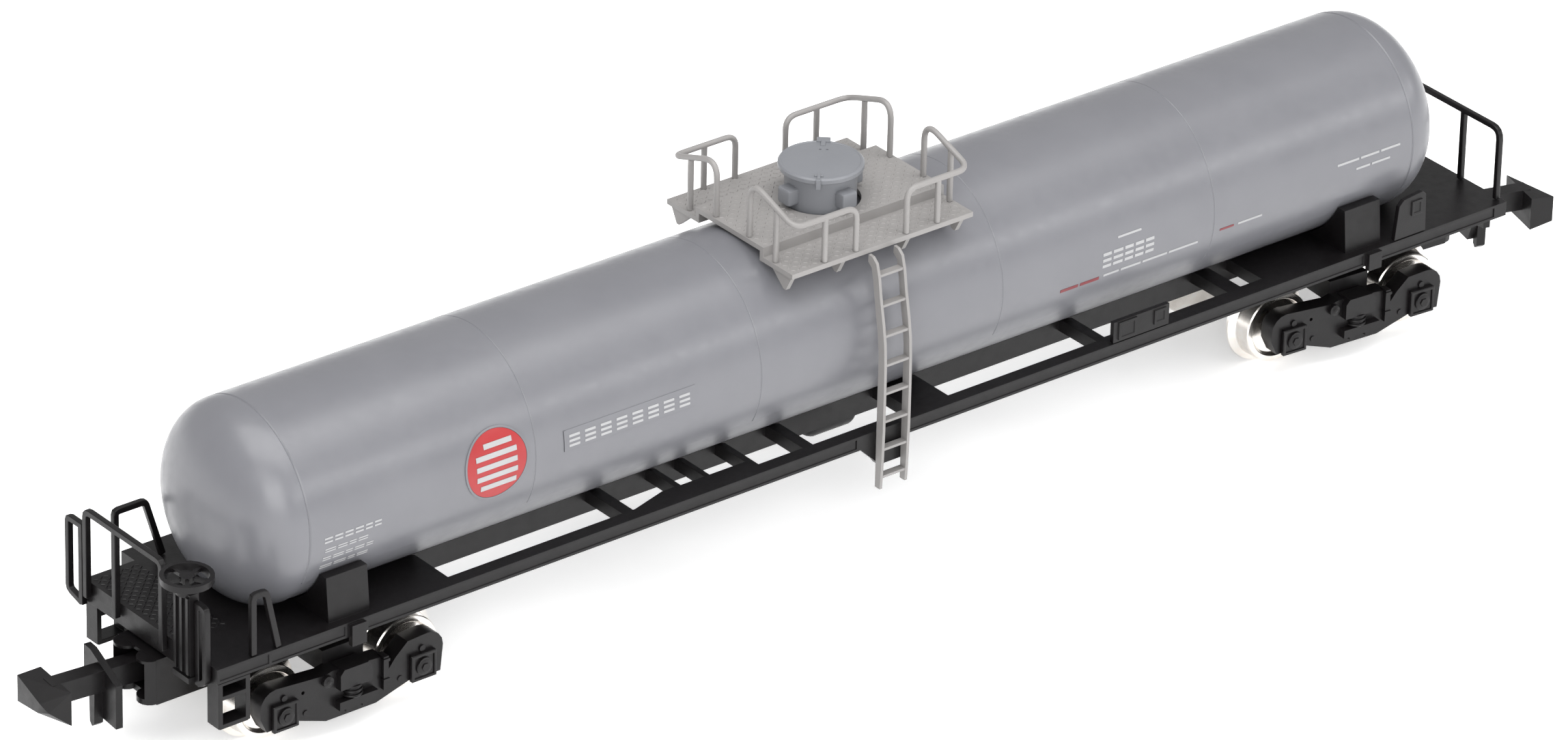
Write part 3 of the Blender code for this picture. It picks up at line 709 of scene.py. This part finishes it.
def handrail_path(end, side):
    """Centre line of a corner rail: up from the raised deck, to the corner, along, and down."""
    x, y = end * RAIL_X, side * RAIL_Y
    peak_y, last_x = side * 1.75, end * 2.1
    peak = ((x, peak_y, DECK_UPPER_Z + RAIL_FOOT), (x, peak_y, PEAK_Z), (x, y, RAIL_Z))
    peak = rounded(peak, 1.5, 12)
    rest = (peak[-2], (x, y, RAIL_Z), (last_x, y, RAIL_Z), (last_x, y, DECK_LOWER_Z + RAIL_FOOT))
    return peak[:-1] + rounded(rest, 0.9, 10)[1:]


def make_handrails():
    foot = DECK_LOWER_Z + RAIL_FOOT
    for end, end_name in ((-1, "front"), (1, "rear")):
        for side, side_name in ((-1, "left"), (1, "right")):
            shapes = [bar(handrail_path(end, side), (end, 0, 0), RAIL, RAIL_CORNER)]
            for x, y, top in MIDDLE_POSTS:
                path = (end * x, side * y, foot), (end * x, side * y, top)
                shapes.append(bar(path, (1, 0, 0), RAIL, RAIL_CORNER))
            node = f"handrail_{end_name}_{side_name}"
            piece(f"{node}_detail", united(shapes), DECK, "chassis", (node,), 50)


make_handrails()


# Every other node of the chassis, with eased edges.

GREY_NODES = {"walkway_deck": 0.06, "ladder_left": 0.05, "ladder_right": 0.05}
BLACK_NODES = {
    "sill_label_plate": 0.04,
    "end_label_plate": 0.04,
    "air_reservoir": 0.06,
    "brake_stand": 0.06,
    "brake_handwheel": 0.06,
    "front_end_rail": 0.08,
    "grab_loop_left": 0.08,
    "grab_loop_right": 0.08,
    "side_stay_left": 0.08,
    "side_stay_right": 0.08,
    "front_step_left": 0.05,
    "front_step_right": 0.05,
    "rear_end_rail": 0.08,
}
for material, widths in ((DECK, GREY_NODES), (BLACK, BLACK_NODES)):
    for node, width in widths.items():
        refined(node, material, "chassis", width)

# The channels along the sills' outer faces, and the joints across them.
CHANNELS_X = ((-49.9, -44.2), (-42.4, -2.9), (1.2, 41.1), (42.8, 53.0))
LEFT_END_CHANNEL_X = (-53.9, -50.1)
CHANNEL_Y = (7.93, 8.1)
CHANNEL_Z = (7.98, 8.66)
JOINTS_X = (-38.6, -19.5, -10.5, 17.6, 36.4)
JOINT_Y = (7.9, 7.985)
JOINT_Z = (7.9, 8.7)
PLATFORM_X = (-53.6, -50.4)
PLATFORM_Y = (-3.4, 5.9)
PLATFORM_Z = 8.85


def on_side(side, span):
    """A span of Y on the left (-1) or right (1) side, lower end first."""
    return sorted(side * y for y in span)


def make_underframe():
    """The CAD's frame, with shallow channels along the sills' outer faces and faint joints in them."""
    cuts = []
    joints = []
    for side in (-1, 1):
        for x_range in CHANNELS_X:
            cuts.append(block(x_range, on_side(side, CHANNEL_Y), CHANNEL_Z))
        for x in JOINTS_X:
            joints.append(block((x - 0.07, x + 0.07), on_side(side, JOINT_Y), JOINT_Z))
    cuts.append(block(LEFT_END_CHANNEL_X, on_side(-1, CHANNEL_Y), CHANNEL_Z))
    refined("underframe", BLACK, "chassis", 0.05, cuts, joints)
    treads = tread_rows(PLATFORM_X, PLATFORM_Y, PLATFORM_Z, 0.38, lambda x, y: True)
    piece("platform_tread", joined(treads), BLACK, "chassis")


make_underframe()


# Bogies, couplers and wheelsets, in the bogie's own frame: +X points to the wagon's end.

# A place inside the left sideframe's thickness, where its details start.
SIDEFRAME_Y = -7.2
SPRING_COILS_Z = (3.2, 3.52, 3.84)
SPRING_FEET_X = (-0.95, 0.35)
LUGS_Z = ((4.75, 4.95), (3.3, 3.5))
SIDEFRAME_HOLE = (3.9, 4.45)
SIDEFRAME_HOLE_R = 0.13


def bogie_matrix(end):
    """From the bogie's own frame to the wagon's, in millimetres."""
    x, degrees = BOGIES[end]
    return Matrix.Translation((x, 0, 0)) @ Matrix.Rotation(math.radians(degrees), 4, "Z")


def wheel_shape():
    """The wheel on its axle's +Y end: rounded flange, coned tread, rim, dished web and boss."""
    profile = [
        (0.6, WHEEL_BACK),
        (FLANGE_R - 0.12, WHEEL_BACK),
        (FLANGE_R - 0.03, WHEEL_BACK + 0.05),
        (FLANGE_R, WHEEL_BACK + 0.15),
        (FLANGE_R - 0.03, WHEEL_BACK + 0.28),
        (FLANGE_R - 0.2, WHEEL_BACK + 0.4),
        (TREAD_R + 0.05, WHEEL_BACK + 0.6),
        (TREAD_R, WHEEL_BACK + 0.75),
        (TREAD_R - 0.05, WHEEL_FACE - 0.08),
        (TREAD_R - 0.12, WHEEL_FACE),
        (2.14, WHEEL_FACE),
        (2.08, WHEEL_FACE - 0.05),
        (1.95, WHEEL_FACE - 0.36),
        (1.1, WHEEL_FACE - 0.4),
        (0.95, WHEEL_FACE - 0.18),
        (0.6, WHEEL_FACE - 0.18),
    ]
    return turned(profile, "Y", (0, 0, AXLE_Z), 64, ring=True)


def axlebox_cover(x):
    """What stands on the sideframe at an axle: a bordered cover, its boss and nut, and two studs."""
    z = SIDEFRAME_Z
    border = block((x - 0.98, x + 0.98), (-7.64, -7.3), (z - 0.95, z + 0.95))
    inset = block((x - 0.78, x + 0.78), (-7.9, -7.54), (z - 0.75, z + 0.75))
    boss = [(0, -7.74), (0.5, -7.74), (0.6, -7.66), (0.6, -7.4), (0, -7.4)]
    inwards = -1 if x > 0 else 1
    return [
        united([eased(border, 0.05, 1)], [inset]),
        turned(boss, "Y", (x, 0, z), 32),
        disc((x, z), "Y", 0.3, -7.83, -7.6, 6),
        disc((x, z + 1.22), "Y", 0.22, -7.42, SIDEFRAME_Y, 20),
        disc((x + inwards * 1.7, z - 0.45), "Y", 0.2, -7.37, SIDEFRAME_Y, 16),
    ]


def sideframe_details(side):
    """What the left sideframe carries, turned half round for the right one."""
    shapes = axlebox_cover(-HALF_WHEELBASE) + axlebox_cover(HALF_WHEELBASE)
    for height in SPRING_COILS_Z:
        low, high = height - 0.09, height + 0.09
        coil = [(0.4, low), (0.7, low), (0.76, height), (0.7, high), (0.4, high)]
        shapes.append(turned(coil, "Z", (-0.05, SIDEFRAME_Y, 0), 24, ring=True))
    for x in SPRING_FEET_X:
        foot = ((x, 2.55), (x + 0.55, 2.55), (x + 0.4, 2.2), (x + 0.15, 2.2))
        shapes.append(prism(foot, "Y", -7.82, SIDEFRAME_Y))
    stud = [(0, -7.74), (0.2, -7.74), (0.2, -7.66), (0.36, -7.66), (0.4, -7.6)]
    stud += [(0.4, SIDEFRAME_Y), (0, SIDEFRAME_Y)]
    shapes.append(turned(stud, "Y", (-2.1, 0, 4.75), 24))
    for z_range in LUGS_Z:
        shapes.append(block((2.15, 2.65), (-7.68, -7.1), z_range))
    body = joined(shapes)
    return moved(body, HALF_TURN) if side > 0 else body


def make_bogie_frame(end):
    to_wagon = bogie_matrix(end)
    node = f"bogie_frame_{end}"
    casting = eased(from_cad(node), 0.12, 3)
    holes = []
    for side in (-1, 1):
        x, z = SIDEFRAME_HOLE
        hole = disc((side * x, z), "Y", SIDEFRAME_HOLE_R, side * 5.5, side * 9.0, 16)
        holes.append(moved(hole, to_wagon))
    body = united([casting], holes)
    details = [moved(sideframe_details(side), to_wagon) for side in (-1, 1)]
    piece(f"{node}_detail", joined([body, *details]), BLACK, f"bogie_{end}", (node,))


def make_wheelset(end, place, offset):
    body = f"wheelset_{end}_{place}"
    refined(f"axle_{end}_{place}", STEEL, body, 0.03)
    to_axle = bogie_matrix(end) @ Matrix.Translation((offset, 0, 0))
    for which, turn in (("a", Matrix.Identity(4)), ("b", HALF_TURN)):
        node = f"wheel_{end}_{place}_{which}"
        piece(f"{node}_detail", moved(wheel_shape(), to_axle @ turn), NICKEL, body, (node,), 30)


for end in BOGIES:
    make_bogie_frame(end)
    refined(f"pocket_lid_{end}", BLACK, f"bogie_{end}", 0.05)
    refined(f"coupler_{end}", BLACK, f"coupler_hook_{end}", 0.08)
    make_wheelset(end, "outer", HALF_WHEELBASE)
    make_wheelset(end, "inner", -HALF_WHEELBASE)

# These nodes are shown as the CAD has them.
AS_MADE = (
    "ballast_weight",
    "pivot_pin_front",
    "pivot_pin_rear",
    "coupler_spring_front",
    "coupler_spring_rear",
)
for node in AS_MADE:
    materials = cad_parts[node].data.materials
    materials.clear()
    materials.append(STEEL)


# Camera, floor and lights.

# The camera's lens and its place, both in millimetres, and its own axes in the frame.
LENS = 228.59
CAMERA_PLACE = (-365.44, -447.40, 320.87)
CAMERA_RIGHT = (0.78383, -0.62061, 0.02147)
CAMERA_UP = (0.28015, 0.38426, 0.87970)
CAMERA_BACK = (-0.55420, -0.68352, 0.47505)

WORLD_STRENGTH = 0.55
FLOOR_GLOW = 0.4
# Each light's name, place, target and size, in metres, and its power in watts.
LIGHTS = (
    ("top", (-0.05, -0.10, 0.60), (0, 0, 0), (0.9, 0.5), 5.6),
    ("front", (-0.45, -0.55, 0.30), (0, 0, 0), (0.5, 0.4), 3.0),
    ("side", (0.50, -0.68, 0.33), (0, 0, 0.015), (1.1, 0.08), 2.4),
)


def make_camera():
    data = bpy.data.cameras.new("camera")
    data.sensor_width = 36.0
    data.lens = LENS
    data.clip_start = 0.01
    data.clip_end = 50.0
    camera = bpy.data.objects.new("camera", data)
    bpy.context.collection.objects.link(camera)
    turn = Matrix((CAMERA_RIGHT, CAMERA_UP, CAMERA_BACK)).transposed().to_4x4()
    camera.matrix_world = Matrix.Translation(Vector(CAMERA_PLACE) * MM) @ turn
    bpy.context.scene.camera = camera


def make_floor():
    n = Nodes("pale_floor")
    shade = n.mixed(n.noise(8.0, 2.0), (0.93, 0.93, 0.93), (0.95, 0.95, 0.95))
    n.link(shade, n.shader.inputs["Base Color"])
    n.shader.inputs["Roughness"].default_value = 0.75
    n.shader.inputs["Emission Color"].default_value = (1.0, 1.0, 1.0, 1.0)
    n.shader.inputs["Emission Strength"].default_value = FLOOR_GLOW
    n.bumped([(n.noise(900.0, 2.0), 0.1, 1e-5)])
    bm = bmesh.new()
    bmesh.ops.create_grid(bm, x_segments=8, y_segments=8, size=6.0)
    mesh = as_mesh(bm, "floor")
    mesh.materials.append(n.material)
    floor = linked(mesh, "floor")


def soft_light(name, place, target, size, power):
    data = bpy.data.lights.new(name, "AREA")
    data.shape = "RECTANGLE"
    data.size, data.size_y = size
    data.energy = power
    light = bpy.data.objects.new(name, data)
    bpy.context.collection.objects.link(light)
    place, target = Vector(place), Vector(target)
    light.location = place
    light.rotation_mode = "QUATERNION"
    light.rotation_quaternion = (target - place).to_track_quat("-Z", "Y")


def make_lights():
    world = bpy.data.worlds.new("studio")
    world.use_nodes = True
    background = world.node_tree.nodes["Background"]
    background.inputs["Color"].default_value = (1.0, 1.0, 1.0, 1.0)
    background.inputs["Strength"].default_value = WORLD_STRENGTH
    bpy.context.scene.world = world
    for light in LIGHTS:
        soft_light(*light)


make_camera()
make_floor()
make_lights()
bpy.context.scene.view_settings.view_transform = "Standard"
